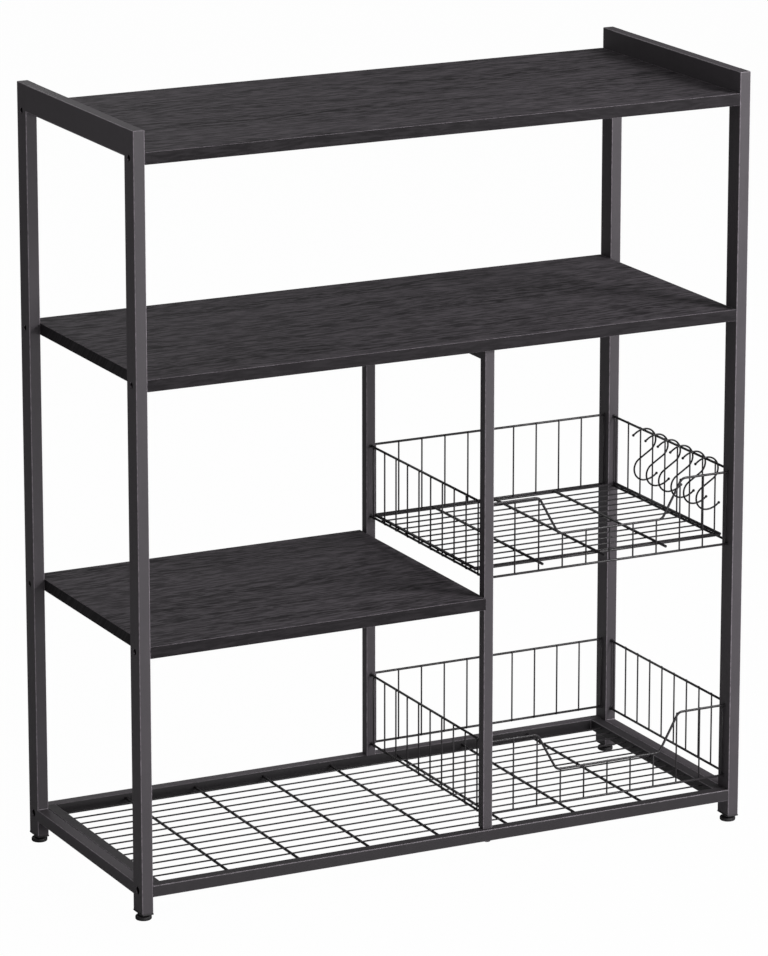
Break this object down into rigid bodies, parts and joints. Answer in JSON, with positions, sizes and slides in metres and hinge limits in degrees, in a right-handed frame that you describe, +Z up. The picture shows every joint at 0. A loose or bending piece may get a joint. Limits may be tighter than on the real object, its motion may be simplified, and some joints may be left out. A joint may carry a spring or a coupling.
{
  "type": "kitchen shelf",
  "caption": "Kitchen shelf with charcoal tube side frames, wood-grain boards, a wire bottom shelf, stacked wire baskets with dipped fronts, hanging S hooks and levelling feet.",
  "frame": {"origin": "on the floor under the centre of the post frame; the hooks reach about 12 mm past the right side, so the whole box's centre lies about 6 mm to the right of it", "axes": "+X along the width to the right seen from the front, +Y from the front to the back, +Z up"},
  "size_m": [0.8262, 0.341, 0.95],
  "materials": {
    "frame_coat": "fine charcoal powder coat",
    "board_laminate": "charcoal wood-grain laminate on board",
    "wire_coat": "satin black dipped wire",
    "hook_coat": "satin black dipped wire",
    "plug_plastic": "matte black plastic",
    "foot_plastic": "matte black plastic"
  },
  "bodies": {
    "frame": {"left_front_post": "frame_coat", "left_back_post": "frame_coat", "right_front_post": "frame_coat", "right_back_post": "frame_coat", "left_top_rail": "frame_coat", "right_top_rail": "frame_coat", "left_bottom_rail": "frame_coat", "right_bottom_rail": "frame_coat", "centre_front_post": "frame_coat", "centre_back_post": "frame_coat", "centre_top_rail": "frame_coat", "shelf_front_rail": "frame_coat", "shelf_back_rail": "frame_coat", "shelf_left_rail": "frame_coat", "shelf_right_rail": "frame_coat", "top_board": "board_laminate", "middle_board": "board_laminate", "half_board": "board_laminate", "shelf_wire_grid": "wire_coat", "upper_left_fence": "wire_coat", "upper_right_fence": "wire_coat", "upper_back_fence": "wire_coat", "upper_front_fence": "wire_coat", "lower_left_fence": "wire_coat", "lower_right_fence": "wire_coat", "lower_back_fence": "wire_coat", "lower_front_fence": "wire_coat", "upper_floor_tray": "wire_coat", "left_front_plug": "plug_plastic", "left_back_plug": "plug_plastic", "right_front_plug": "plug_plastic", "right_back_plug": "plug_plastic"},
    "hook_1": {"s_hook_1": "hook_coat"},
    "hook_2": {"s_hook_2": "hook_coat"},
    "hook_3": {"s_hook_3": "hook_coat"},
    "hook_4": {"s_hook_4": "hook_coat"},
    "hook_5": {"s_hook_5": "hook_coat"},
    "hook_6": {"s_hook_6": "hook_coat"},
    "left_front_foot_screw": {"left_front_foot": "foot_plastic"},
    "left_back_foot_screw": {"left_back_foot": "foot_plastic"},
    "right_front_foot_screw": {"right_front_foot": "foot_plastic"},
    "right_back_foot_screw": {"right_back_foot": "foot_plastic"}
  },
  "joints": [
    {"name": "hook_1_swing", "type": "hinge", "parent": "frame", "child": "hook_1", "pos_m": [0.39875, 0.0624, 0.45012], "axis": [0, 1, 0], "range_deg": [-35, 35]},
    {"name": "hook_2_swing", "type": "hinge", "parent": "frame", "child": "hook_2", "pos_m": [0.39875, 0.0312, 0.45012], "axis": [0, 1, 0], "range_deg": [-35, 35]},
    {"name": "hook_3_swing", "type": "hinge", "parent": "frame", "child": "hook_3", "pos_m": [0.39875, 0, 0.45012], "axis": [0, 1, 0], "range_deg": [-35, 35]},
    {"name": "hook_4_swing", "type": "hinge", "parent": "frame", "child": "hook_4", "pos_m": [0.39875, -0.0312, 0.45012], "axis": [0, 1, 0], "range_deg": [-35, 35]},
    {"name": "hook_5_swing", "type": "hinge", "parent": "frame", "child": "hook_5", "pos_m": [0.39875, -0.0624, 0.45012], "axis": [0, 1, 0], "range_deg": [-35, 35]},
    {"name": "hook_6_swing", "type": "hinge", "parent": "frame", "child": "hook_6", "pos_m": [0.39875, -0.0936, 0.45012], "axis": [0, 1, 0], "range_deg": [-35, 35]},
    {"name": "left_front_foot_level", "type": "slide", "parent": "frame", "child": "left_front_foot_screw", "axis": [0, 0, -1], "range_m": [0, 0.008]},
    {"name": "left_back_foot_level", "type": "slide", "parent": "frame", "child": "left_back_foot_screw", "axis": [0, 0, -1], "range_m": [0, 0.008]},
    {"name": "right_front_foot_level", "type": "slide", "parent": "frame", "child": "right_front_foot_screw", "axis": [0, 0, -1], "range_m": [0, 0.008]},
    {"name": "right_back_foot_level", "type": "slide", "parent": "frame", "child": "right_back_foot_screw", "axis": [0, 0, -1], "range_m": [0, 0.008]}
  ]
}
